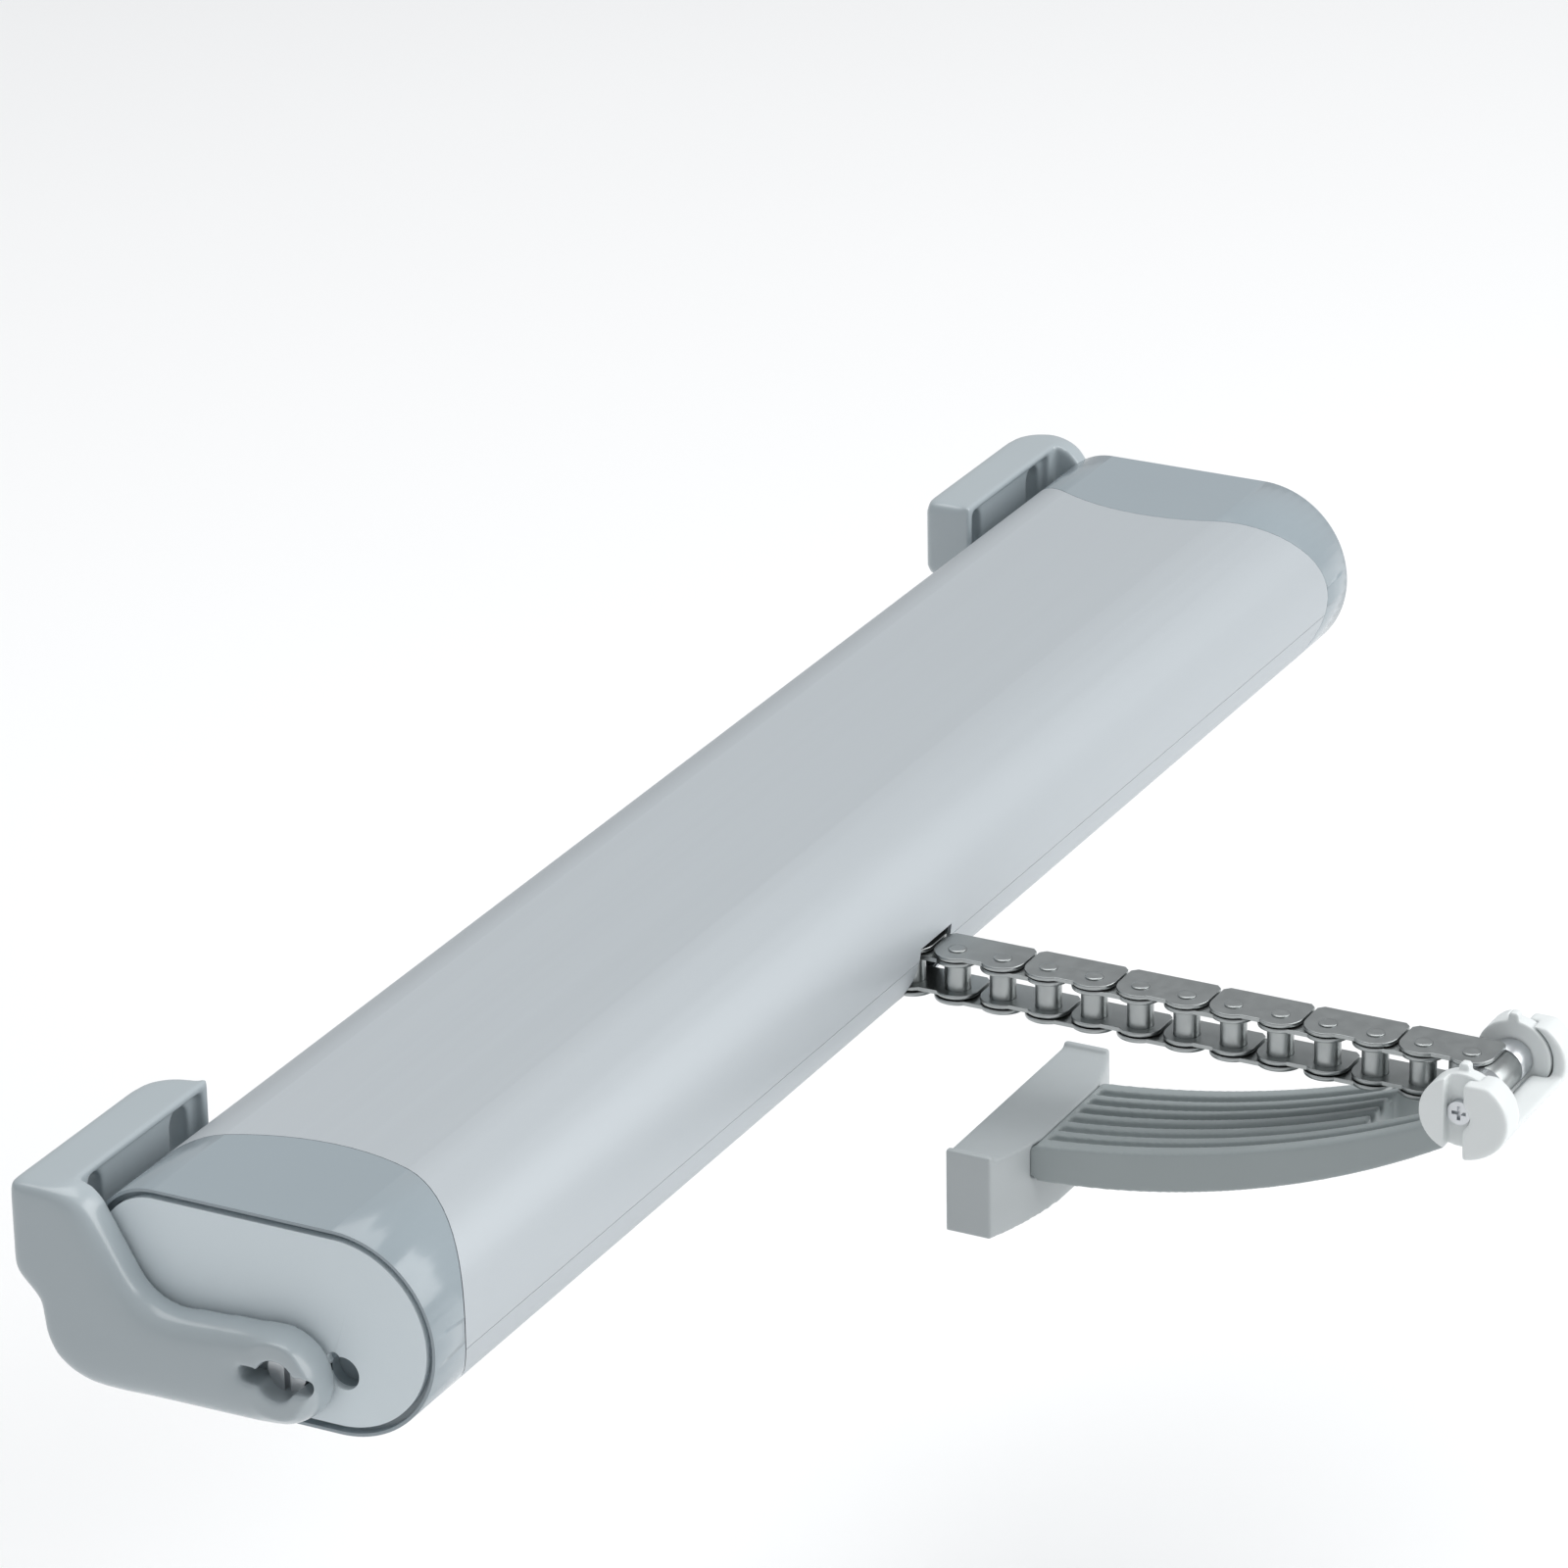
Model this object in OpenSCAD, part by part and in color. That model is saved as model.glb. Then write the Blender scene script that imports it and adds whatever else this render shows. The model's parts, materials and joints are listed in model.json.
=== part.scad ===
// Electric chain actuator for windows: a casing that tilts between two frame
// brackets, a push chain that leaves its nose, and a sash bracket on the tip.
// +X runs along the casing, -Y is the way the chain pushes, +Z is up.
// The origin is on the plane of the window frame, midway between the brackets,
// level with the middle of the bracket feet.

/* [Casing] */
// Length over the two end caps
casing_l = 386; // [340:2:430]
// Depth from the nose to the back
casing_d = 67.6; // [64:0.2:72]
// Height
casing_h = 38.8; // [37:0.2:42]
// Wall of the extruded profiles
wall = 1.8; // [1.2:0.1:2.2]
// Gap from the casing back to the window frame
back_gap = 11.9; // [11:0.1:16]
// Width of an end cap's collar at the middle of the top face
collar_w = 28.5; // [24:0.5:34]

/* [Brackets] */
// Length of a foot along the window frame
foot_l = 49; // [44:1:56]
// Height of a foot
foot_h = 17; // [14:0.5:20]
// Thickness of the arm across the end of the casing
arm_t = 7; // [5:0.5:8]
// Distance of the tilt axis from the window frame
pivot_reach = 52.2; // [48:0.2:56]

/* [Chain] */
// Chain pitch
pitch = 9.525; // [9.525:0.001:9.526]
// Chain line, measured from the middle of the casing
chain_x = -4; // [-6:0.5:-2]
// Pins of the straight run that is outside the sprocket
run_pins = 16; // [16:1:16]
// Pins of the run that is stored along the back
stored_pins = 13; // [8:1:13]

/* [Drive] */
// Teeth of the chain sprocket
sprocket_teeth = 8; // [8:1:8]
// Teeth of the large gear on the sprocket shaft
main_teeth = 40; // [40:1:40]
// Teeth of the pinion beside the worm wheel
pinion_teeth = 12; // [12:1:12]
// Teeth of the worm wheel
wheel_teeth = 24; // [24:1:24]
// Diameter of the motor
motor_d = 26; // [22:1:26]

/* [Sash bracket] */
// Width of the ribbed arm
sash_w = 30; // [28:1:34]
// Length of the foot
sash_foot_l = 53; // [48:1:60]
// Depth of the grooves between the ribs
groove_d = 1.5; // [0.8:0.1:2]

/* [Hidden] */

$fn = 72;
eps = 0.01;
run_fit = 0.05;

// casing section
mid_y = -back_gap - casing_d / 2;
mid_z = -10.8;
nose_r = casing_h / 2;
back_r = 12.9;
nose_y = mid_y - casing_d / 2 + nose_r;
seam_z = mid_z - 4;
end_x = casing_l / 2;
collar_r = 42;
plate_t = 1.6;
cap_wall = 2.2;
end_wall = 3.2;

// brackets
pivot_y = -pivot_reach;
pivot_z = -18.3;
arm_gap = 1.0;
arm_x = end_x + arm_gap;
foot_d = 10.7;
foot_z1 = mid_z + casing_h / 2 - 0.05;
foot_z0 = foot_z1 - foot_h;
foot_x1 = arm_x + arm_t;
foot_x0 = foot_x1 - foot_l;
slot_w = 5.6;
slot_h = 11;
slot_x = [foot_x0 + 7, foot_x1 - 14];
lobe_r = 9.1;
web_recess = 2;
pin_r = 3.8;

// chain
plate_w = 0.85;
inner_half = 2.9;
chain_z = pivot_z;
pin_d = 3;
bush_d = 5.08;
tip_gap = 3.8;
first_pin_y = -84.4;
last_pin_y = first_pin_y - 11 * pitch;
tip_y = last_pin_y - tip_gap;
mesh_r = sprocket_teeth * pitch / (2 * PI);
sprocket_x = chain_x - mesh_r;
sprocket_y = last_pin_y + run_pins * pitch;
stored_y = sprocket_y + mesh_r;

// gear train: the worm is along X, every other shaft is along Z
gear_m = 1;
worm_pitch = gear_m * PI;
idler_x = sprocket_x + gear_m * (main_teeth + pinion_teeth) / 2;
worm_r = 5;
worm_y = sprocket_y - gear_m * wheel_teeth / 2 - 4;
worm_z = -8;
roof_z = 3.6;
floor_z = -27.4;
base_floor = -28.3;
deck_t = 1.8;
deck_y0 = mid_y - 16.3;
deck_y1 = -23.2;
motor_x = 26;
motor_l = 46;

// sash bracket
top_arc = [-87.4, 189.7, 233.6];
low_arc = [-99.0, 128.8, 179.7];
sash_back_y = -94.4;
sash_top_z = -42.8;
sash_z0 = -58.8;
root_y = -107.7;
ear_in = 10.9;
ear_out = 14;
ear_r = 7.4;
rim_out = 16.6;
clip_out = 17.4;
clip_reach = 10.4;
clip_h = 8.6;

silver = [0.74, 0.76, 0.78];
cap_grey = [0.64, 0.68, 0.72];
bracket_grey = [0.69, 0.74, 0.76];
plate_grey = [0.70, 0.72, 0.73];
steel = [0.58, 0.60, 0.61];
zinc = [0.76, 0.77, 0.78];
sash_grey = [0.60, 0.63, 0.64];
white = [0.90, 0.91, 0.91];
brass = [0.80, 0.66, 0.36];
black = [0.12, 0.12, 0.13];
green = [0.10, 0.38, 0.22];

// ---------- helpers ----------
// draws children in the Y-Z plane and extrudes them along +X
module along_x(x0, x1) {
  translate([x0, 0, 0]) rotate([90, 0, 90]) linear_extrude(x1 - x0) children();
}

module along_z(z0, z1) {
  translate([0, 0, z0]) linear_extrude(z1 - z0) children();
}

module block(x0, x1, y0, y1, z0, z1) {
  translate([x0, y0, z0]) cube([x1 - x0, y1 - y0, z1 - z0]);
}

module rod_x(x0, x1, y, z, r) {
  translate([x0, y, z]) rotate([0, 90, 0]) cylinder(h = x1 - x0, r = r);
}

module rod_z(x, y, z0, z1, r) {
  translate([x, y, z0]) cylinder(h = z1 - z0, r = r);
}

module rod_y(x, y0, y1, z, r) {
  translate([x, y0, z]) rotate([-90, 0, 0]) cylinder(h = y1 - y0, r = r);
}

module mirror_x(side) {
  if (side < 0) mirror([1, 0, 0]) children();
  else children();
}

// outline of the casing, drawn in Y and Z, pulled in by inset
module casing_outline(inset = 0) {
  r = nose_r - inset;
  b = back_r - inset;
  back_y = mid_y + casing_d / 2 - back_r;
  rise = nose_r - back_r;
  translate([nose_y, mid_z]) circle(r);
  translate([nose_y, mid_z - r]) square([back_y - nose_y, 2 * r]);
  translate([back_y - eps, mid_z - rise]) square([b + eps, 2 * rise]);
  for (s = [-1, 1]) translate([back_y, mid_z + s * rise]) circle(b);
}

// cylinder whose side is the curved joint between collar and profile
module collar_cut(gap = 0) {
  translate([end_x + collar_r - collar_w, mid_y + 1, mid_z - 40])
    cylinder(h = 80, r = collar_r + gap, $fn = 144);
}

// ---------- casing ----------
screw_ports = [[nose_y - 7, mid_z + 13.04], [nose_y - 7, mid_z - 13.04], [mid_y + 26.8, mid_z + 12.4]];

module profile_ring(z0, z1) {
  difference() {
    along_x(-end_x + 4, end_x - 4) intersection() {
      difference() {
        casing_outline(0);
        difference() {
          casing_outline(wall);
          for (p = screw_ports) translate(p) circle(3.6);
        }
        for (p = screw_ports) translate(p) circle(1.45);
      }
      translate([mid_y - 60, z0]) square([120, z1 - z0]);
    }
    for (s = [-1, 1]) mirror_x(s) collar_cut(0.15);
  }
}

exit_x = [chain_x - 5.5, chain_x + 7.5];
exit_z = [chain_z - 6.2, chain_z + 6.2];
cable_x = 120;
cable_z = -9.2;
cable_r = 3.9;

module casing_cover() {
  color(silver) difference() {
    profile_ring(seam_z + 0.06, mid_z + nose_r + 1);
    block(exit_x[0], exit_x[1], nose_y - 30, nose_y - 2, exit_z[0], exit_z[1]);
    rod_y(cable_x, mid_y + 30, mid_y + 50, cable_z, cable_r + 0.5);
  }
}

module casing_base() {
  color(silver) difference() {
    profile_ring(mid_z - nose_r - 1, seam_z - 0.06);
    block(exit_x[0], exit_x[1], nose_y - 30, nose_y - 2, exit_z[0], exit_z[1]);
  }
}

module end_cap(side) {
  socket_r = pin_r + run_fit;
  plate_x = end_x - plate_t;
  color(cap_grey) mirror_x(side) difference() {
    union() {
      difference() {
        intersection() {
          along_x(end_x - 60, end_x) casing_outline(0);
          collar_cut(0);
        }
        along_x(plate_x, end_x + 1) casing_outline(0.6);
        along_x(end_x - 61, plate_x - end_wall) casing_outline(cap_wall);
      }
      rod_x(plate_x - 15, plate_x - end_wall + eps, pivot_y, pivot_z, 8);
    }
    rod_x(plate_x - 12.5, end_x + 1, pivot_y, pivot_z, socket_r);
    rod_x(plate_x - 7.5, plate_x - 4.9, pivot_y, pivot_z, 6.3);
    block(plate_x - 5, end_x, pivot_y - 5.9, pivot_y + 5.9, pivot_z - 1.3, pivot_z + 1.3);
    rod_x(plate_x - 2.4, end_x + 1, pivot_y - 9, pivot_z, 3.1);
    for (p = screw_ports) rod_x(plate_x - 12, plate_x + 1, p[0], p[1], 1.65);
    for (p = screw_ports) rod_x(plate_x - 1.9, plate_x + 1, p[0], p[1], 3);
  }
}

module end_cap_left() end_cap(-1);
module end_cap_right() end_cap(1);

module face_plate(side) {
  color(plate_grey) mirror_x(side) difference() {
    along_x(end_x - plate_t, end_x) casing_outline(1.75);
    rod_x(end_x - 5, end_x + 1, pivot_y, pivot_z, pin_r + 0.3);
    block(end_x - 5, end_x + 1, pivot_y - 6, pivot_y + 6, pivot_z - 1.6, pivot_z + 1.6);
    rod_x(end_x - 5, end_x + 1, pivot_y - 9, pivot_z, 3.1);
    rod_x(end_x - 5, end_x + 1, pivot_y - 7.2, pivot_z + 2.4, 1.3);
  }
}

module face_plate_left() face_plate(-1);
module face_plate_right() face_plate(1);

// long screws through the collar of each cap into the ports of the profiles
module cap_screws() {
  plate_x = end_x - plate_t;
  color(zinc) for (s = [-1, 1]) mirror_x(s) for (p = screw_ports) {
    rod_x(plate_x - 31, plate_x - 1.8, p[0], p[1], 1.4);
    rod_x(plate_x - 1.8, plate_x - 0.2, p[0], p[1], 2.7);
  }
}

module chain_exit_guide() {
  lip = 0.6;
  color([0.30, 0.34, 0.36]) difference() {
    intersection() {
      block(exit_x[0] + 0.1, exit_x[1] - 0.1, nose_y - 25, nose_y - 8,
        exit_z[0] + 0.1, exit_z[1] - 0.1);
      along_x(exit_x[0], exit_x[1]) casing_outline(0.4);
    }
    block(exit_x[0] + lip, exit_x[1] - lip, nose_y - 30, nose_y,
      exit_z[0] + lip, exit_z[1] - lip);
  }
}

// ---------- frame brackets ----------
function arc(c, r, a0, a1, n = 16) = [for (i = [0 : n]) let (a = a0 + (a1 - a0) * i / n)
  c + r * [cos(a), sin(a)]];

// edge of the arm, drawn in Y and Z: lobe round the tilt axis, deep belly,
// step up to the foot, round shoulder, then an S-curve back to the lobe
module arm_outline() {
  belly_r = 12.6;
  belly = [-18, -16.3];
  shoulder_r = 7;
  shoulder = [-10.1, foot_z1 - shoulder_r];
  hollow_r = 10;
  hollow = [-31.4, -1.4];
  polygon(concat(
    arc([pivot_y + 0.8, pivot_z - 0.9], lobe_r, 84, 268, 24),
    arc(belly, belly_r, 268, 360, 16),
    [[belly[0] + belly_r, foot_z0 - 5.4], [0, foot_z0], [0, foot_z1]],
    arc(shoulder, shoulder_r, 90, 150, 10),
    arc(hollow, hollow_r, -30, -90, 14)));
}

// plan that rounds the back of a bracket at its free end and at its arm
module bracket_plan(end_r, arm_r) {
  reach = 80;
  deep = max(end_r, arm_r);
  translate([foot_x0, -reach]) square([foot_l, reach - deep]);
  translate([foot_x0 + end_r, -reach]) square([foot_l - end_r - arm_r, reach]);
  translate([foot_x0, -reach]) square([foot_l / 2, reach - end_r]);
  translate([foot_x1 - foot_l / 2, -reach]) square([foot_l / 2, reach - arm_r]);
  translate([foot_x0 + end_r, -end_r]) circle(end_r);
  translate([foot_x1 - arm_r, -arm_r]) circle(arm_r);
}

module bracket(side, end_r, arm_r) {
  color(bracket_grey) mirror_x(side) difference() {
    intersection() {
      union() {
        block(foot_x0, foot_x1, -foot_d, 0, foot_z0, foot_z1);
        along_x(arm_x, foot_x1) arm_outline();
      }
      along_z(-60, 60) bracket_plan(end_r, arm_r);
    }
    // recessed web between the rims of the foot
    block(foot_x0 + 2, arm_x - 3, -foot_d - 1, -foot_d + web_recess, foot_z0 + 1.7, foot_z1 - 1.7);
    for (x = slot_x) for (z = [-1, 1]) translate([0, 0, z * (slot_h - slot_w) / 2])
      rod_y(x, -foot_d - 1, 1, (foot_z0 + foot_z1) / 2, slot_w / 2);
    for (x = slot_x) block(x - slot_w / 2, x + slot_w / 2, -foot_d - 1, 1,
      (foot_z0 + foot_z1 - slot_h + slot_w) / 2, (foot_z0 + foot_z1 + slot_h - slot_w) / 2);
    // keyhole of the pivot pin: a bore with a lobe each side
    rod_x(arm_x - 1, foot_x1 + 1, pivot_y, pivot_z, pin_r + run_fit);
    block(arm_x - 1, foot_x1 + 1, pivot_y - 6, pivot_y + 6, pivot_z - 1.6, pivot_z + 1.6);
    for (s = [-1, 1]) rod_x(arm_x - 1, foot_x1 + 1, pivot_y + s * 6, pivot_z, 1.6);
  }
}

module bracket_left() bracket(-1, 8, 1.5);
module bracket_right() bracket(1, 2, 8);

// quarter-turn pin: slotted head, shank, two lugs locked behind the cap wall
module pivot_pin(side) {
  plate_x = end_x - plate_t;
  head_x = foot_x1 - 4.5;
  color(zinc) mirror_x(side) difference() {
    union() {
      rod_x(plate_x - 11.5, head_x, pivot_y, pivot_z, pin_r);
      block(plate_x - 7.1, plate_x - 5.3, pivot_y - 1.1, pivot_y + 1.1, pivot_z - 5.8, pivot_z + 5.8);
    }
    block(head_x - 1.4, head_x + 1, pivot_y - 0.6, pivot_y + 0.6, pivot_z - 5, pivot_z + 5);
  }
}

module pivot_pin_left() pivot_pin(-1);
module pivot_pin_right() pivot_pin(1);

// ---------- push chain ----------
// A run is drawn with its first pin at the origin and the rest along +Y. The
// lobes are on the -X side; the straight edges on the +X side butt together,
// so the chain is stiff one way and bends the other way round the sprocket.
module link_plate(lobe_r, edge_x) {
  reach = pitch / 2 + lobe_r;
  chamfer = 1.1;
  for (s = [-1, 1]) translate([0, s * pitch / 2]) circle(lobe_r, $fn = 40);
  translate([-lobe_r + 1, -pitch / 2]) square([lobe_r, pitch]);
  polygon([[0, -reach], [edge_x - chamfer, -reach], [edge_x, -reach + chamfer],
    [edge_x, reach - chamfer], [edge_x - chamfer, reach], [0, reach]]);
}

module outer_plates(pins) {
  for (k = [0 : 2 : pins - 2], s = [-1, 1])
    translate([0, (k + 0.5) * pitch, s * 4.475 - plate_w / 2]) linear_extrude(plate_w)
      difference() {
        link_plate(4.5, 6.6);
        for (e = [-1, 1]) translate([0, e * pitch / 2]) circle(pin_d / 2, $fn = 32);
      }
}

module inner_plates(pins) {
  for (k = [1 : 2 : pins - 2], s = [-1, 1])
    translate([0, (k + 0.5) * pitch, s * (inner_half + plate_w / 2) - plate_w / 2])
      linear_extrude(plate_w) difference() {
        link_plate(4.35, 6.2);
        for (e = [-1, 1]) translate([0, e * pitch / 2]) circle(bush_d / 2, $fn = 32);
      }
}

module bushes(first, last) {
  for (k = [first : last]) translate([0, k * pitch, -3.7]) difference() {
    cylinder(h = 7.4, r = bush_d / 2, $fn = 32);
    translate([0, 0, -1]) cylinder(h = 10, r = pin_d / 2 + 0.1, $fn = 32);
  }
}

module pins(count) {
  for (k = [0 : count - 1]) translate([0, k * pitch, -5.2])
    cylinder(h = 10.4, r = pin_d / 2, $fn = 32);
}

module at_run() translate([chain_x, last_pin_y, chain_z]) children();
module at_stored() translate([sprocket_x, stored_y, chain_z]) rotate(90) children();

module run_outer_plates() color(steel) at_run() outer_plates(run_pins);
module run_inner_plates() color(steel) at_run() inner_plates(run_pins);
module run_bushes() color(zinc) at_run() bushes(1, run_pins - 1);
module run_pins_set() color(zinc) at_run() pins(run_pins);
module stored_outer_plates() color(steel) at_stored() outer_plates(stored_pins);
module stored_inner_plates() color(steel) at_stored() inner_plates(stored_pins + 1);
module stored_bushes() color(zinc) at_stored() bushes(1, stored_pins - 1);
module stored_pins_set() color(zinc) at_stored() pins(stored_pins);

// block held by the last outer plates, with an eye for the tip pin
module end_block() {
  color(steel) difference() {
    union() {
      rod_z(chain_x, last_pin_y, chain_z - 3.9, chain_z + 3.9, 4.2);
      block(chain_x - 3.4, chain_x + 5.6, tip_y, last_pin_y + 0.8, chain_z - 3.9, chain_z + 3.9);
      rod_x(chain_x - 3.4, chain_x + 5.6, tip_y, chain_z, 3.9);
    }
    rod_z(chain_x, last_pin_y, chain_z - 8, chain_z + 8, pin_d / 2 + 0.02);
    rod_x(chain_x - 20, chain_x + 20, tip_y, chain_z, 2 + run_fit);
  }
}

// sleeves on the tip pin, one each side of the block
module tip_barrel() {
  color(zinc) difference() {
    union() {
      rod_x(chain_x - 10.6, chain_x - 3.4, tip_y, chain_z, 4);
      rod_x(chain_x + 5.6, chain_x + 10.6, tip_y, chain_z, 4);
    }
    rod_x(chain_x - 20, chain_x + 20, tip_y, chain_z, 2 + run_fit);
    rod_z(chain_x, last_pin_y, chain_z - 8, chain_z + 8, 4.2);
  }
}

// ---------- sprocket and gear train ----------
// Path of a tooth flank that clears pins on a straight line: an involute of
// the pitch circle, set off by the bush radius plus clearance.
function flank(t, r) = let (a = t * 180 / PI)
  [mesh_r * cos(a) + (mesh_r * t - r) * sin(a), mesh_r * sin(a) - (mesh_r * t - r) * cos(a)];

module sprocket() {
  seat = bush_d / 2 + 0.2;
  steps = [0 : 0.1 : 1.1];
  color(steel) translate([sprocket_x, sprocket_y, chain_z - 2.6]) difference() {
    cylinder(h = 5.2, r = 14.2);
    for (k = [0 : sprocket_teeth - 1]) rotate(k * 360 / sprocket_teeth) {
      translate([mesh_r, 0, -1]) cylinder(h = 8, r = seat, $fn = 32);
      translate([0, 0, -1]) linear_extrude(8) polygon(concat(
        [for (t = steps) flank(t, seat)],
        [for (i = [11 : -1 : 0]) let (p = flank(i * 0.1, seat)) [p[0], -p[1]]]));
    }
    translate([0, 0, -1]) cylinder(h = 8, r = 3);
  }
}

module sprocket_shaft() {
  color(zinc) rod_z(sprocket_x, sprocket_y, floor_z + 0.3, roof_z + deck_t, 3);
}

// half tooth angle of an involute at radius r, pressure angle pa
function inv_deg(a) = tan(a) * 180 / PI - a;
function half_tooth(r, teeth, pa, slack) = let (rp = gear_m * teeth / 2, rb = rp * cos(pa))
  (90 - slack * 180 / PI / gear_m) / teeth + inv_deg(pa) - inv_deg(acos(min(1, rb / r)));

module spur_gear(teeth, thick, bore_r, slack) {
  pa = 25;
  rp = gear_m * teeth / 2;
  root = rp - 1.15 * gear_m;
  tip = rp + 0.8 * gear_m;
  base = max(rp * cos(pa), root + 0.05);
  radii = [for (i = [0 : 4]) base + (tip - base) * i / 4];
  difference() {
    union() {
      cylinder(h = thick, r = root);
      for (k = [0 : teeth - 1]) rotate(k * 360 / teeth) linear_extrude(thick) polygon(concat(
        [[root * 0.8, -root * 0.8 * sin(half_tooth(base, teeth, pa, slack))]],
        [for (r = radii) let (a = -half_tooth(r, teeth, pa, slack)) [r * cos(a), r * sin(a)]],
        [for (i = [4 : -1 : 0]) let (r = radii[i], a = half_tooth(r, teeth, pa, slack))
          [r * cos(a), r * sin(a)]],
        [[root * 0.8, root * 0.8 * sin(half_tooth(base, teeth, pa, slack))]]));
    }
    translate([0, 0, -1]) cylinder(h = thick + 2, r = bore_r);
  }
}

module main_gear() {
  color(steel) translate([sprocket_x, sprocket_y, -5.4]) spur_gear(main_teeth, 3, 3, 0.06);
}

module idler_shaft() {
  color(zinc) rod_z(idler_x, sprocket_y, floor_z + 0.3, roof_z + deck_t, 2.5);
}

module idler_pinion() {
  color(steel) translate([idler_x, sprocket_y, -5.9]) rotate(180 + 180 / pinion_teeth)
    spur_gear(pinion_teeth, 4, 2.5, 0.06);
}

// straight teeth narrow enough to clear the slope of the worm thread
module worm_wheel() {
  rp = gear_m * wheel_teeth / 2;
  color(brass) translate([idler_x, sprocket_y, worm_z - 2]) difference() {
    union() {
      cylinder(h = 4, r = rp - 1.1);
      for (k = [0 : wheel_teeth - 1]) rotate(k * 360 / wheel_teeth) linear_extrude(4)
        polygon([[rp - 2, -0.95], [rp, -0.55], [rp + 0.7, -0.3],
          [rp + 0.7, 0.3], [rp, 0.55], [rp - 2, 0.95]]);
    }
    translate([0, 0, -1]) cylinder(h = 6, r = 2.5);
  }
}

// single-start right-hand worm; the profile is the thread's section
module worm() {
  turns = 4;
  root_r = 3;
  function thread_r(a) = root_r + (worm_r - root_r) * max(0, min(1, (100 - abs(a)) / 58));
  x0 = idler_x + worm_pitch / 4 - 2 * worm_pitch;
  color(steel) difference() {
    translate([x0, worm_y, worm_z]) rotate([0, 90, 0])
      linear_extrude(turns * worm_pitch, twist = -360 * turns, slices = turns * 16, $fn = 24)
        polygon([for (i = [-12 : 11]) let (a = i * 15) thread_r(a) * [cos(a), sin(a)]]);
    rod_x(x0 - 2, x0 + 30, worm_y, worm_z, 1.55);
  }
}

module motor_shaft() {
  color(zinc) rod_x(idler_x - 10.5, motor_x + motor_l + 12, worm_y, worm_z, 1.5);
}

module rotor() {
  color([0.45, 0.30, 0.18]) difference() {
    rod_x(motor_x + 8, motor_x + 36, worm_y, worm_z, 9.5);
    rod_x(motor_x, motor_x + 50, worm_y, worm_z, 1.5);
    for (k = [0 : 4]) translate([0, worm_y, worm_z]) rotate([72 * k, 0, 0])
      block(motor_x, motor_x + 40, -0.8, 0.8, 6, 12);
  }
}

module motor_can() {
  color(zinc) difference() {
    rod_x(motor_x, motor_x + motor_l, worm_y, worm_z, motor_d / 2);
    rod_x(motor_x + 2, motor_x + motor_l + 1, worm_y, worm_z, motor_d / 2 - 1.4);
    rod_x(motor_x - 1, motor_x + 3, worm_y, worm_z, 1.5 + run_fit);
  }
}

module motor_end_bell() {
  color(black) difference() {
    union() {
      rod_x(motor_x + motor_l, motor_x + motor_l + 5, worm_y, worm_z, motor_d / 2 - 0.5);
      rod_x(motor_x + motor_l + 5, motor_x + motor_l + 8, worm_y, worm_z, 5);
      for (s = [-1, 1]) block(motor_x + motor_l + 4, motor_x + motor_l + 11,
        worm_y - 0.3, worm_y + 0.3, worm_z + s * 9 - 1.2, worm_z + s * 9 + 1.2);
    }
    rod_x(motor_x + motor_l - 1, motor_x + motor_l + 9, worm_y, worm_z, 1.5 + run_fit);
  }
}

// saddle that ties the motor down to the lower profile
module motor_strap() {
  color(steel) difference() {
    union() {
      rod_x(motor_x + 14, motor_x + 26, worm_y, worm_z, motor_d / 2 + 0.7);
      block(motor_x + 14, motor_x + 26, worm_y - 4, worm_y + 19, mid_z - nose_r + wall, worm_z - 12);
    }
    rod_x(motor_x + 10, motor_x + 30, worm_y, worm_z, motor_d / 2 + 0.02);
  }
}

// ---------- gearbox ----------
pillar_xy = [[-42, -59], [-42, -35], [22.4, -59.4], [22.4, -26]];

module deck(z) {
  difference() {
    block(-46, 25.6, deck_y0, deck_y1, z, z + deck_t);
    rod_z(sprocket_x, sprocket_y, z - 1, z + 4, 4);
    rod_z(idler_x, sprocket_y, z - 1, z + 4, 3.5);
    for (p = pillar_xy) rod_z(p[0], p[1], z - 1, z + 4, 1.3);
  }
}

module gearbox_floor() color(zinc) deck(floor_z);
module gearbox_roof() color(zinc) deck(roof_z);

module gearbox_pillars() {
  color(zinc) {
    for (p = pillar_xy) difference() {
      rod_z(p[0], p[1], floor_z + deck_t, roof_z, 2.2);
      rod_z(p[0], p[1], floor_z, roof_z + 1, 1.3);
    }
    for (p = pillar_xy) rod_z(p[0], p[1], base_floor, floor_z, 2.2);
    // far bearing of the worm, hung from the roof
    difference() {
      union() {
        rod_x(idler_x - 10.5, idler_x - 7.5, worm_y, worm_z, 2.7);
        block(idler_x - 10.5, idler_x - 7.5, worm_y - 4, worm_y - 0.5, worm_z, roof_z);
      }
      rod_x(idler_x - 12, idler_x - 6, worm_y, worm_z, 1.5 + run_fit);
    }
  }
}

module gearbox_screws() {
  color(steel) for (p = pillar_xy) {
    rod_z(p[0], p[1], floor_z + 0.1, roof_z + deck_t, 1.3);
    rod_z(p[0], p[1], roof_z + deck_t, roof_z + deck_t + 1.1, 2.3);
  }
}

module shaft_bushes() {
  color(brass) for (z = [floor_z, roof_z]) {
    difference() {
      rod_z(sprocket_x, sprocket_y, z, z + deck_t, 4);
      rod_z(sprocket_x, sprocket_y, z - 1, z + 4, 3 + run_fit);
    }
    difference() {
      rod_z(idler_x, sprocket_y, z, z + deck_t, 3.5);
      rod_z(idler_x, sprocket_y, z - 1, z + 4, 2.5 + run_fit);
    }
  }
}

// ---------- chain magazine and electrics ----------
magazine_x = [-164.3, -48];

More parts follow.
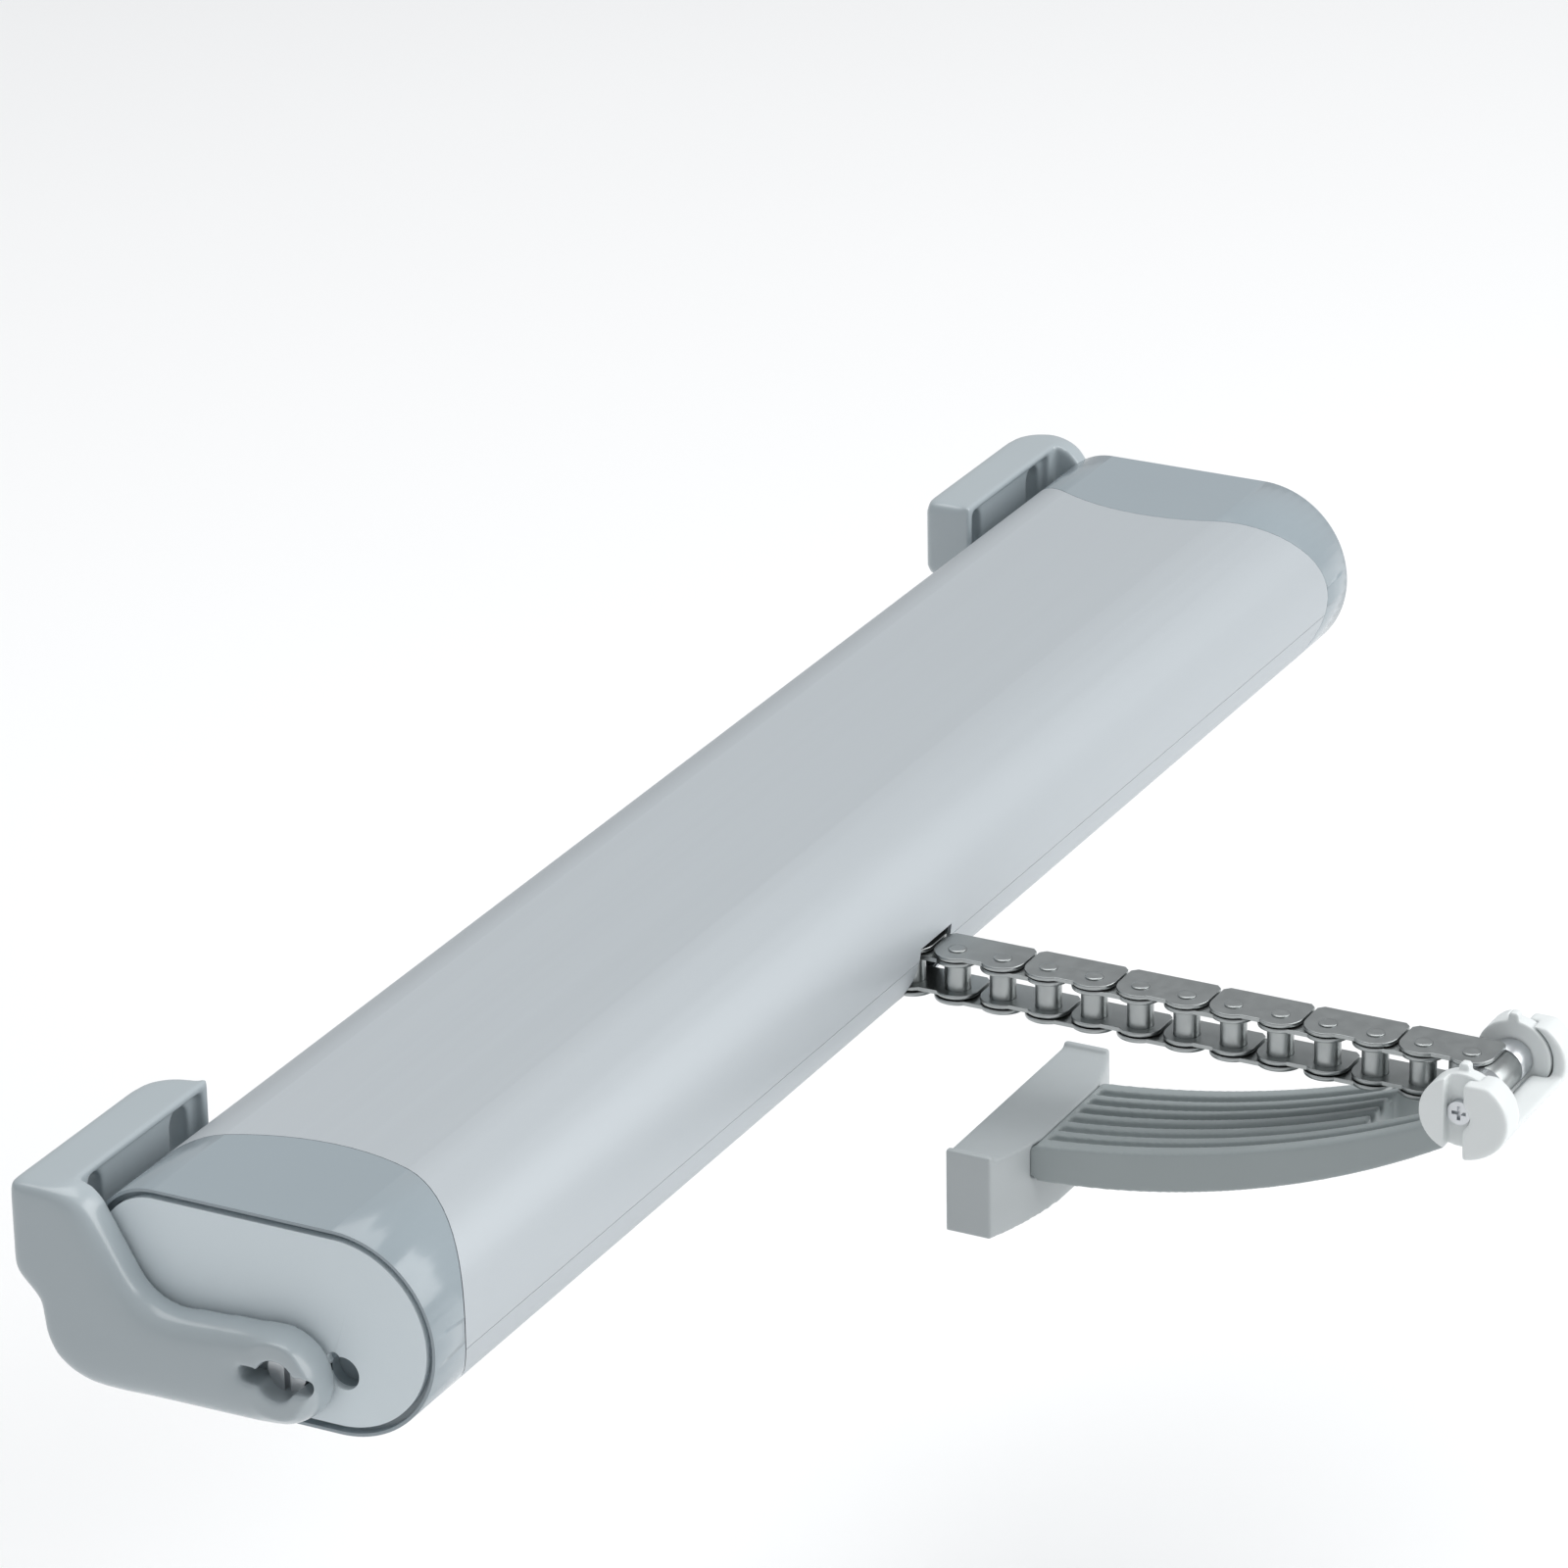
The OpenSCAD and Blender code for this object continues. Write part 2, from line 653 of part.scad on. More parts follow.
// tray with a lane for the stored run and a wall that ends the lane
module chain_magazine() {
  top_z = -13;
  tray_t = 1.4;
  lane_y = stored_y - 5.4;
  color(black) {
    block(magazine_x[0], magazine_x[1], deck_y0 + 1, deck_y1, base_floor, floor_z + tray_t);
    block(magazine_x[0], magazine_x[1], lane_y - tray_t, lane_y, floor_z + tray_t, top_z);
    block(magazine_x[0], magazine_x[0] + tray_t, lane_y, deck_y1, floor_z + tray_t, top_z);
  }
}

board_z = -7.5;

module circuit_board() {
  color(green) difference() {
    block(-160, -50, -58, -24, board_z, board_z + 1.6);
    for (x = [-154, -56], y = [-54, -35]) rod_z(x, y, board_z - 1, board_z + 3, 1.6);
  }
}

module board_spacers() {
  color(brass) {
    for (x = [-154, -56], y = [-54, -35]) {
      rod_z(x, y, floor_z + 1.4, board_z, 2.6);
      rod_z(x, y, board_z, board_z + 2.4, 1.55);
    }
    for (x = [102, 160], y = [-56, -28]) rod_z(x, y, base_floor, -24, 2.6);
  }
}

module terminal_block() {
  color([0.20, 0.50, 0.30]) for (k = [0 : 4]) difference() {
    block(-150 + 5 * k, -145.1 + 5 * k, -33, -25, board_z + 1.6, board_z + 10);
    block(-149 + 5 * k, -146.1 + 5 * k, -28, -24, board_z + 3, board_z + 6);
    rod_z(-147.5 + 5 * k, -30, board_z + 8, board_z + 11, 1.6);
  }
}

module relays() {
  color([0.15, 0.25, 0.45]) for (k = [0 : 1])
    block(-118 + 14 * k, -106 + 14 * k, -50, -34, board_z + 1.6, board_z + 11);
}

module board_capacitors() {
  color([0.25, 0.25, 0.30]) for (k = [0 : 2])
    rod_z(-86 + 9 * k, -50, board_z + 1.6, board_z + 12, 3.6);
}

// microswitch read by the stored run as it passes
module limit_switch() {
  color(black) {
    block(-78, -66, -40, -34, floor_z + 1.4, -18);
    block(-76, -74, -34, -31.5, -22, -20);
  }
}

module power_board() {
  color(green) block(98, 164, -60, -24, -24, -22.4);
}

module transformer() {
  color([0.35, 0.35, 0.38]) {
    block(104, 134, -54, -30, -22.4, -14);
    block(110, 128, -50, -34, -14, -2);
  }
}

module mains_capacitor() {
  color([0.82, 0.83, 0.80]) rod_x(136, 162, -44, -13.6, 8.8);
}

// inlet of the supply lead, in the back of the cover
module cable_grommet() {
  back_y = mid_y + casing_d / 2;
  color(black) difference() {
    union() {
      rod_y(cable_x, back_y - wall - 1.6, back_y + 1.4, cable_z, cable_r + 0.5);
      rod_y(cable_x, back_y, back_y + 1.4, cable_z, cable_r + 1.2);
    }
    rod_y(cable_x, back_y - 10, back_y + 5, cable_z, cable_r - 0.8);
  }
}

// ---------- sash bracket ----------
// ring between the two arcs of the arm, about axes along X
module arm_sweep(width) {
  y0 = tip_y - 20;
  along_x(chain_x - width / 2, chain_x + width / 2) difference() {
    translate([low_arc[0], low_arc[1]]) circle(low_arc[2], $fn = 360);
    translate([top_arc[0], top_arc[1]]) circle(top_arc[2], $fn = 360);
    translate([root_y, -400]) square([500, 800]);
    translate([y0 - 500, -400]) square([500, 800]);
    translate([y0 - 1, chain_z + 30]) square([500, 400]);
  }
}

module arm_grooves() {
  step = sash_w / 7;
  ring = top_arc[2];
  for (k = [-2.5 : 1 : 2.5]) along_x(chain_x + k * step - 1, chain_x + k * step + 1)
    intersection() {
      difference() {
        translate([top_arc[0], top_arc[1]]) circle(ring + groove_d, $fn = 360);
        translate([top_arc[0], top_arc[1]]) circle(ring - 1, $fn = 360);
      }
      translate([tip_y + 9, -80]) square([root_y - tip_y - 9 - 1, 80]);
    }
}

// draws children in the Y-Z plane round the tip pin and extrudes them on
// both sides of the chain, from inner to outer
module both_sides(inner, outer) {
  for (s = [-1, 1]) translate([chain_x + s * (inner + outer) / 2, tip_y, chain_z])
    along_x(-(outer - inner) / 2, (outer - inner) / 2) children();
}

// ears let into the end of the arm: each has a half-moon rim beside the head
// of the pin, and a finger on top
module yoke_body() {
  both_sides(ear_in, ear_out) circle(ear_r);
  both_sides(ear_out - eps, rim_out) intersection() {
    circle(ear_r);
    translate([2.4, -20]) square([20, 40]);
  }
  both_sides(ear_in, ear_in + 2) hull() for (y = [-0.2, 0.5]) translate([y, 0])
    for (z = [4, 8.2]) translate([0, z]) circle(0.7, $fn = 24);
}

module pivot_yoke() {
  color(white) difference() {
    yoke_body();
    rod_x(chain_x - 30, chain_x + 30, tip_y, chain_z, 2);
  }
}

module sash_arm() {
  slot = [chain_x - 5.6, chain_x + 7.6];
  color(sash_grey) difference() {
    union() {
      intersection() {
        arm_sweep(sash_w);
        block(-60, 60, tip_y + 3, 0, -90, 0);
      }
      // root, let into the foot cover and carried by its base
      block(chain_x - sash_w / 2, chain_x + sash_w / 2, root_y, sash_back_y - 3,
        sash_top_z - 7.2, sash_top_z - 1);
    }
    arm_grooves();
    // fork: room for the barrel, then for the chain above the arm
    block(chain_x - ear_in, chain_x + ear_in, tip_y - 20, tip_y + 8.4, chain_z - 20, chain_z + 20);
    block(slot[0], slot[1], tip_y - 20, tip_y + 22, chain_z - 20, chain_z + 20);
    // seat of the ears
    both_sides(ear_in - 1, rim_out + 1) circle(ear_r);
  }
}

module tip_pin() {
  color(zinc) difference() {
    union() {
      rod_x(chain_x - ear_out, chain_x + ear_out, tip_y, chain_z, 2);
      both_sides(ear_out, ear_out + 1.2) circle(2.3);
    }
    // cross recess in each head
    both_sides(ear_out + 0.4, ear_out + 2) {
      square([2.8, 0.7], center = true);
      square([0.7, 2.8], center = true);
    }
  }
}

// U-shaped clip: a D-shaped cheek outside each ear, joined in front of the barrel
module release_clip() {
  color(white) difference() {
    translate([chain_x, tip_y, chain_z]) along_x(-clip_out, clip_out) intersection() {
      scale([clip_reach, clip_h]) circle(1, $fn = 96);
      translate([-20, -20]) square([20 - 1.4, 20 + 7]);
    }
    // room for the ears, for the barrel, and a window that shows it
    both_sides(ear_in - 0.3, ear_out + 0.3) circle(ear_r + 0.3);
    rod_x(chain_x - ear_in, chain_x + ear_in, tip_y, chain_z, 4.6);
    block(chain_x - ear_in, chain_x + ear_in, tip_y - 20, tip_y, chain_z - 2.4, chain_z + 20);
    block(chain_x - ear_in, chain_x + ear_in, tip_y - 2.2, tip_y, chain_z - 20, chain_z);
    rod_x(chain_x - 30, chain_x + 30, tip_y, chain_z, 2.8);
  }
}

foot_mid = chain_x + 0.5;
hole_span = 38;

module foot_outline(inset) {
  half = sash_foot_l / 2;
  depth = 9.2;
  bulge = 5.2;
  r = (half * half + bulge * bulge) / (2 * bulge);
  intersection() {
    translate([foot_mid, sash_back_y - depth - bulge + r]) circle(r - inset, $fn = 180);
    translate([foot_mid - half + inset, sash_back_y - 30])
      square([2 * half - 2 * inset, 30]);
  }
}

module sash_foot_base() {
  color(sash_grey) difference() {
    intersection() {
      along_z(sash_z0 + 1.5, sash_top_z - 1) foot_outline(1.6);
      block(-60, 60, sash_back_y - 3, sash_back_y, -80, 0);
    }
    for (s = [-1, 1]) rod_y(foot_mid + s * hole_span / 2, sash_back_y - 5, sash_back_y + 1,
      (sash_z0 + sash_top_z) / 2, 2.15);
  }
}

module sash_foot_cover() {
  color(plate_grey) difference() {
    union() {
      along_z(sash_z0, sash_top_z) foot_outline(0);
      for (s = [-1, 1]) intersection() {
        along_z(sash_top_z - eps, sash_top_z + 1) foot_outline(0);
        translate([foot_mid + s * (sash_foot_l / 2 - 0.8), sash_back_y - 4.7, sash_top_z])
          cube([1.6, 9.4, 4], center = true);
      }
    }
    along_z(sash_z0 + 1.5, sash_top_z - 1) foot_outline(1.6);
    block(chain_x - sash_w / 2, chain_x + sash_w / 2, sash_back_y - 30, sash_back_y - 3,
      sash_top_z - 7.2, sash_top_z - 1);
    block(chain_x - sash_w / 2, chain_x + sash_w / 2, sash_back_y - 30, root_y,
      sash_top_z - 8.4, sash_top_z + 2);
  }
}

bracket_left();
bracket_right();
pivot_pin_left();
pivot_pin_right();
casing_cover();
casing_base();
end_cap_left();
end_cap_right();
face_plate_left();
face_plate_right();
cap_screws();
chain_exit_guide();
gearbox_floor();
gearbox_roof();
gearbox_pillars();
gearbox_screws();
shaft_bushes();
motor_can();
motor_end_bell();
motor_strap();
chain_magazine();
circuit_board();
board_spacers();
terminal_block();
relays();
board_capacitors();
limit_switch();
power_board();
transformer();
mains_capacitor();
cable_grommet();
run_outer_plates();
run_inner_plates();
run_bushes();
run_pins_set();
end_block();
tip_barrel();
stored_outer_plates();
stored_inner_plates();
stored_bushes();
stored_pins_set();
sprocket();
sprocket_shaft();
main_gear();
idler_shaft();
idler_pinion();
worm_wheel();
worm();
motor_shaft();
rotor();
sash_arm();
pivot_yoke();
sash_foot_base();
sash_foot_cover();
tip_pin();
release_clip();
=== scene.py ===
"""Looks of the window chain actuator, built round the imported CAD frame. Metres, +Z up."""
import json
import math

import bmesh
import bpy
import numpy as np
from mathutils import Matrix, Vector


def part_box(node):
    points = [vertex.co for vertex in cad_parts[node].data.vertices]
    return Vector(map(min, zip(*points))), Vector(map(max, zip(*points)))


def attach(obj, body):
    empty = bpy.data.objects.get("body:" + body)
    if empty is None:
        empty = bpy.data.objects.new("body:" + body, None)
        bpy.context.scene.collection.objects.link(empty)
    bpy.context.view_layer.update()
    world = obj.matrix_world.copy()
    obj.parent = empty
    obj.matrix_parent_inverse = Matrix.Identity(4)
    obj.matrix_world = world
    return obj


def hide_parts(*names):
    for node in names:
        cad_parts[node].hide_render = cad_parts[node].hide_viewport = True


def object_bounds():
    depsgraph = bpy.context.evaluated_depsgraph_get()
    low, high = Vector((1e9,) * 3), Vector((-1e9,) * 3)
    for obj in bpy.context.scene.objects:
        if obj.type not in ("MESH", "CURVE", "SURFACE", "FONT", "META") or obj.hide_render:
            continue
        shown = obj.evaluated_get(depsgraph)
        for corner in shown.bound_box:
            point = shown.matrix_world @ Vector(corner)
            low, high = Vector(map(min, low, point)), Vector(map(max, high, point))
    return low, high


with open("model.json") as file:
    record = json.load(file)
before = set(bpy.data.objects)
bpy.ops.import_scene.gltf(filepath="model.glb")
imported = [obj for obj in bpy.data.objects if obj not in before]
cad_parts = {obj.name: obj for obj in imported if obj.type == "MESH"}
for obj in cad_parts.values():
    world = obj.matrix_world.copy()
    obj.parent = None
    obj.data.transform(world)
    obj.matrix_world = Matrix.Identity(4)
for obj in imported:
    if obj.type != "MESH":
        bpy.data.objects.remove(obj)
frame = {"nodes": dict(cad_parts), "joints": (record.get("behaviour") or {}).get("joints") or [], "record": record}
cad_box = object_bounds()
nodes = frame["nodes"]
bodies = frame["record"]["behaviour"]["bodies"]
slot_of = {part["node"]: part["material_slot"] for part in frame["record"]["subparts"]}
MM = 0.001

# ---------- places, from the frame ----------
cover_lo, cover_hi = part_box("casing_cover")
base_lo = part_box("casing_base")[0]
casing_mid = Vector((0, (cover_lo.y + cover_hi.y) / 2, (base_lo.z + cover_hi.z) / 2))
pivot = next(Vector(j["pos_m"]) for j in frame["joints"] if j["name"] == "casing_tilt")

# ---------- materials ----------
# roughness swings while a noise is between these two, and is level outside them
NOISE_LOW, NOISE_HIGH = 0.2, 0.8


class Shader:
    """A Principled material with a few helpers for its node graph."""

    def __init__(self, name, color, rough, metal=0.0, coat=0.0, coat_rough=0.1, ior=1.47):
        self.name = name
        self.color = color
        self.rough = rough
        self.mat = bpy.data.materials.new(name)
        self.mat.use_nodes = True
        self.tree = self.mat.node_tree
        self.nodes = self.tree.nodes
        self.bsdf = self.nodes["Principled BSDF"]
        self.bsdf.inputs["Base Color"].default_value = (*color, 1)
        self.bsdf.inputs["Roughness"].default_value = rough
        self.bsdf.inputs["Metallic"].default_value = metal
        self.bsdf.inputs["Coat Weight"].default_value = coat
        self.bsdf.inputs["Coat Roughness"].default_value = coat_rough
        self.bsdf.inputs["IOR"].default_value = ior
        self.place = self.nodes.new("ShaderNodeTexCoord").outputs["Object"]

    def link(self, a, b):
        self.tree.links.new(a, b)

    def noise(self, size, detail=2.0, stretch=(1, 1, 1)):
        """Noise with features about size metres across, drawn out along an axis by stretch."""
        mapping = self.nodes.new("ShaderNodeMapping")
        mapping.inputs["Scale"].default_value = [1 / (size * s) for s in stretch]
        self.link(self.place, mapping.inputs["Vector"])
        node = self.nodes.new("ShaderNodeTexNoise")
        node.inputs["Scale"].default_value = 1.0
        node.inputs["Detail"].default_value = detail
        self.link(mapping.outputs["Vector"], node.inputs["Vector"])
        return node.outputs["Fac"]

    def tint(self, value, spread):
        """Base colour a little darker and lighter than its mean, by value."""
        mix = self.nodes.new("ShaderNodeMix")
        mix.data_type = "RGBA"
        mix.inputs["A"].default_value = (*[c * (1 - spread) for c in self.color], 1)
        mix.inputs["B"].default_value = (*[min(1, c * (1 + spread)) for c in self.color], 1)
        self.link(value, mix.inputs["Factor"])
        self.link(mix.outputs["Result"], self.bsdf.inputs["Base Color"])

    def vary_rough(self, value, spread):
        """Roughness a little below and above its mean, by value."""
        node = self.nodes.new("ShaderNodeMapRange")
        node.interpolation_type = "SMOOTHERSTEP"
        node.inputs["From Min"].default_value = NOISE_LOW
        node.inputs["From Max"].default_value = NOISE_HIGH
        node.inputs["To Min"].default_value = self.rough - spread
        node.inputs["To Max"].default_value = self.rough + spread
        self.link(value, node.inputs["Value"])
        self.link(node.outputs["Result"], self.bsdf.inputs["Roughness"])

    def bump(self, value, depth):
        """Bump of the given depth in metres; calls stack."""
        node = self.nodes.new("ShaderNodeBump")
        node.inputs["Distance"].default_value = depth
        node.inputs["Strength"].default_value = 1.0
        self.link(value, node.inputs["Height"])
        old = self.bsdf.inputs["Normal"].links
        if old:
            self.link(old[0].from_socket, node.inputs["Normal"])
        self.link(node.outputs["Normal"], self.bsdf.inputs["Normal"])


def painted(name, color, rough, coat, peel):
    """Paint under a smoother lacquer; peel is the depth of its orange peel."""
    s = Shader(name, color, rough, coat=coat, coat_rough=rough * 0.6)
    s.tint(s.noise(30 * MM), spread=0.02)
    s.vary_rough(s.noise(9 * MM), spread=0.03)
    s.bump(s.noise(1.6 * MM, detail=1), depth=peel)
    return s


def moulded(name, color, rough, grain=0.35 * MM, depth=0.02 * MM):
    """Moulded plastic with a fine grain."""
    s = Shader(name, color, rough)
    s.tint(s.noise(22 * MM), spread=0.03)
    s.vary_rough(s.noise(5 * MM), spread=0.05)
    s.bump(s.noise(grain, detail=3), depth)
    return s


def metal(name, color, rough):
    """Bare or plated metal, faintly mottled."""
    s = Shader(name, color, rough, metal=1.0)
    s.tint(s.noise(6 * MM, detail=3), spread=0.06)
    s.vary_rough(s.noise(2.5 * MM, detail=3), spread=0.05)
    s.bump(s.noise(0.25 * MM, detail=2), depth=0.0015 * MM)
    return s


def anodised(name, color):
    """Satin anodised extrusion: die lines along the profile and a very fine etch."""
    s = Shader(name, color, 0.50, metal=0.35, ior=1.5)
    lines = s.noise(0.5 * MM, detail=3, stretch=(400, 1, 1))
    s.tint(lines, spread=0.015)
    s.vary_rough(lines, spread=0.03)
    s.bump(lines, depth=0.002 * MM)
    s.bump(s.noise(0.18 * MM, detail=2), depth=0.003 * MM)
    return s


shaders = {s.name: s for s in (
    anodised("anodised_profile", (0.47, 0.505, 0.53)),
    painted("cap_gloss", (0.285, 0.335, 0.365), 0.24, coat=0.35, peel=0.004 * MM),
    moulded("face_matt", (0.70, 0.77, 0.805), 0.48, grain=0.3 * MM, depth=0.008 * MM),
    painted("bracket_paint", (0.375, 0.425, 0.45), 0.32, coat=0.6, peel=0.006 * MM),
    metal("zinc_steel", (0.62, 0.64, 0.66), 0.34),
    # guide_grey is painted shade: the chain exit guide is made near-black to stand in for the shade inside the
    # chain's exit hole
    moulded("guide_grey", (0.06, 0.07, 0.075), 0.5),
    metal("bronze", (0.60, 0.42, 0.20), 0.4),
    moulded("black_plastic", (0.012, 0.012, 0.013), 0.45),
    moulded("board_green", (0.01, 0.10, 0.035), 0.35),
    moulded("part_blue", (0.02, 0.05, 0.16), 0.35),
    moulded("part_white", (0.70, 0.70, 0.68), 0.4),
    moulded("rubber_black", (0.010, 0.010, 0.010), 0.6),
    metal("chain_steel", (0.385, 0.405, 0.405), 0.34),
    metal("gear_steel", (0.42, 0.43, 0.44), 0.32),
    metal("copper_winding", (0.50, 0.20, 0.08), 0.45),
    moulded("sash_matt", (0.30, 0.335, 0.34), 0.40, grain=0.4 * MM, depth=0.010 * MM),
    moulded("foot_pale", (0.40, 0.43, 0.44), 0.40, grain=0.4 * MM, depth=0.010 * MM),
    moulded("clip_white", (0.73, 0.76, 0.76), 0.35, grain=0.5 * MM, depth=0.006 * MM),
)}


def dress(obj, node):
    """Gives obj the material of a CAD node."""
    obj.data.materials.clear()
    obj.data.materials.append(shaders[slot_of[node]].mat)


for name, node in nodes.items():
    dress(node, name)


def stand_in(obj, node):
    """Shows obj instead of a CAD node, with its material and on its body."""
    dress(obj, node)
    body = next(b for b, members in bodies.items() if node in members)
    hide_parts(node)
    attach(obj, body)


# ---------- castings and mouldings ----------
WELD_GAP = 0.004 * MM


def weld(obj):
    """Joins the loose corners of a CAD mesh, by a modifier."""
    obj.modifiers.new("weld", "WELD").merge_threshold = WELD_GAP


def relax(mesh, rounds, weight):
    """Each round moves every point half of the way to the middle of its neighbours,
    times what weight, if there is one, makes of the (n, 3) array of points."""
    count = len(mesh.vertices)
    co = np.empty(count * 3)
    mesh.vertices.foreach_get("co", co)
    co = co.reshape(-1, 3)
    pairs = np.empty(len(mesh.edges) * 2, np.int64)
    mesh.edges.foreach_get("vertices", pairs)
    a, b = pairs.reshape(-1, 2).T
    degree = np.bincount(a, minlength=count) + np.bincount(b, minlength=count)
    share = 0.5 * (weight(co) if weight else np.ones(count))[:, None] / degree[:, None]
    for _ in range(rounds):
        total = np.stack([np.bincount(a, co[b, k], count) + np.bincount(b, co[a, k], count)
                          for k in range(3)], axis=1)
        co = co + share * (total - degree[:, None] * co)
    mesh.vertices.foreach_set("co", co.ravel())
    mesh.polygons.foreach_set("use_smooth", np.ones(len(mesh.polygons), bool))
    mesh.update()


def mould(node, name, voxel, rounds, weight=None):
    """A cast or moulded copy of a CAD node: its surface is rebuilt as an even
    mesh, then relaxed so that its edges and inner corners turn round."""
    obj = bpy.data.objects.new(name, nodes[node].data.copy())
    bpy.context.collection.objects.link(obj)
    weld(obj)
    skin = obj.modifiers.new("skin", "REMESH")
    skin.mode = "VOXEL"
    skin.voxel_size = voxel
    graph = bpy.context.evaluated_depsgraph_get()
    mesh = bpy.data.meshes.new_from_object(obj.evaluated_get(graph))
    obj.modifiers.clear()
    obj.data = mesh
    relax(mesh, rounds, weight)
    stand_in(obj, node)


# where a bracket may relax: each pair runs from where its surface stays to where it is free
KEYHOLE_RIM = (7.4 * MM, 8.6 * MM)  # distance from the pin's axis
KEYHOLE_ENDS = (7.6 * MM, 9.0 * MM)  # distance along the keyhole, with height counted less
HEIGHT_COUNTS = 0.6
SLOT_ENDS = (6.4 * MM, 7.6 * MM)  # height above or below the middle of the foot
SLOTS_TO_ARM = (192.5 * MM, 193.5 * MM)  # distance from the middle of the actuator
ARM_INNER_SIDE = (194.3 * MM, 196.5 * MM)  # the same
FOOT_TO_ARM = (8 * MM, 18 * MM)  # distance from the window frame
FOOT_FRONT = (-9.5 * MM, -8 * MM)  # along Y
BORE_RADIUS = 4.3 * MM
# how much it may relax in the pin's bore, on the foot, and at least everywhere else
BORE_WEIGHT, FOOT_WEIGHT, LEAST_WEIGHT = 0.008, 0.22, 0.03


def ramp01(value, low, high):
    return np.clip((value - low) / (high - low), 0, 1)


def bracket_weight(co):
    """Full on the rim of the arm, low on the foot, next to none round the keyhole and the slots."""
    x, y, z = np.abs(co[:, 0]), co[:, 1], co[:, 2]
    along, up = np.abs(y - pivot.y), np.abs(z - pivot.z)
    from_pin = np.hypot(along, up)
    keyhole = np.maximum(ramp01(along + HEIGHT_COUNTS * up, *KEYHOLE_ENDS),
                         ramp01(from_pin, *KEYHOLE_RIM))
    slots = np.maximum(ramp01(np.abs(z), *SLOT_ENDS), ramp01(x, *SLOTS_TO_ARM))
    arm = FOOT_WEIGHT + (1 - FOOT_WEIGHT) * ramp01(-y, *FOOT_TO_ARM)
    # the corner between foot and arm stays open for the casing, which tilts into it
    outer = np.maximum(ramp01(x, *ARM_INNER_SIDE), ramp01(y, *FOOT_FRONT))
    least = np.where(from_pin < BORE_RADIUS, BORE_WEIGHT, LEAST_WEIGHT)
    return np.maximum(least, np.minimum.reduce([keyhole, slots, arm, outer]))


# node, name of its copy, voxel size, rounds, weight
for moulding in (
    ("bracket_left", "cast_bracket_left", 0.45 * MM, 230, bracket_weight),
    ("bracket_right", "cast_bracket_right", 0.45 * MM, 230, bracket_weight),
    ("sash_arm", "moulded_sash_arm", 0.36 * MM, 5),
    ("sash_foot_cover", "moulded_foot_cover", 0.4 * MM, 6),
    ("pivot_yoke", "moulded_yoke", 0.22 * MM, 5),
    ("release_clip", "moulded_clip", 0.28 * MM, 22),
):
    mould(*moulding)

# ---------- riveted pins of the chain ----------
PITCH = 9.525 * MM
PIN_RADIUS = 1.5 * MM
PIN_SIDES = 28
# an end upset into a low, slightly dished dome: radius, and height over the pin's end, in mm
RIVET_HEAD = ((1.5, -0.55), (1.5, -0.36), (1.72, -0.30), (1.78, -0.16),
              (1.66, -0.05), (1.2, 0.0), (0.6, -0.04), (0, -0.06))


def rivet_profile(half):
    """Outline of a pin from -half to +half with a head at each end, as (radius, height)."""
    top = [(r * MM, half + z * MM) for r, z in RIVET_HEAD]
    return [(r, -z) for r, z in reversed(top)] + top


def lathe(name, profile, places, node):
    """Turned pieces about Z, shown instead of a node: one of the profile at each place.
    The profile starts and ends on the axis."""
    mesh = bpy.data.meshes.new(name)
    bm = bmesh.new()
    turns = [2 * math.pi * i / PIN_SIDES for i in range(PIN_SIDES)]
    for place in places:
        rings = [[bm.verts.new(place + Vector((r * math.cos(t), r * math.sin(t), z)))
                  for t in (turns if r else turns[:1])] for r, z in profile]
        for low, high in zip(rings, rings[1:]):
            for i in range(PIN_SIDES):
                j = (i + 1) % PIN_SIDES
                if len(low) == 1:
                    bm.faces.new((low[0], high[j], high[i]))
                elif len(high) == 1:
                    bm.faces.new((low[i], low[j], high[0]))
                else:
                    bm.faces.new((low[i], low[j], high[j], high[i]))
    bm.to_mesh(mesh)
    bm.free()
    mesh.polygons.foreach_set("use_smooth", [True] * len(mesh.polygons))
    obj = bpy.data.objects.new(name, mesh)
    bpy.context.collection.objects.link(obj)
    stand_in(obj, node)


def pin_row(low, high):
    """Where the pins of a row stand, whose box runs from low to high along it."""
    count = round((high - low - 2 * PIN_RADIUS) / PITCH) + 1
    return [low + PIN_RADIUS + k * PITCH for k in range(count)]


run_lo, run_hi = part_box("run_pins_set")
chain_x, chain_z = (run_lo.x + run_hi.x) / 2, (run_lo.z + run_hi.z) / 2
rivet = rivet_profile((run_hi.z - run_lo.z) / 2)
lathe("riveted_run_pins", rivet,
      [Vector((chain_x, y, chain_z)) for y in pin_row(run_lo.y, run_hi.y)], "run_pins_set")
stored_lo, stored_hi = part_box("stored_pins_set")
stored_y = (stored_lo.y + stored_hi.y) / 2
lathe("riveted_stored_pins", rivet,
      [Vector((x, stored_y, chain_z)) for x in pin_row(stored_lo.x, stored_hi.x)],
      "stored_pins_set")

# ---------- edges of the other pieces in sight ----------
SHARP_ANGLE = math.radians(35)
BEVELS = (
    (0.18 * MM, ("end_cap_left", "end_cap_right")),
    (0.12 * MM, ("face_plate_left", "face_plate_right", "chain_exit_guide")),
    (0.14 * MM, ("run_outer_plates", "run_inner_plates", "stored_outer_plates",
                 "stored_inner_plates", "end_block")),
    (0.25 * MM, ("pivot_pin_left", "pivot_pin_right", "tip_barrel", "cable_grommet")),
)


def soften(node, width):
    """Rounds the sharp edges of a CAD node by modifiers; its own mesh stays as it is."""
    obj = nodes[node]
    weld(obj)
    bevel = obj.modifiers.new("bevel", "BEVEL")
    bevel.width = width
    bevel.segments = 2
    bevel.limit_method = "ANGLE"
    bevel.angle_limit = SHARP_ANGLE
    bevel.harden_normals = True


for width, softened in BEVELS:
    for node in softened:
        soften(node, width)

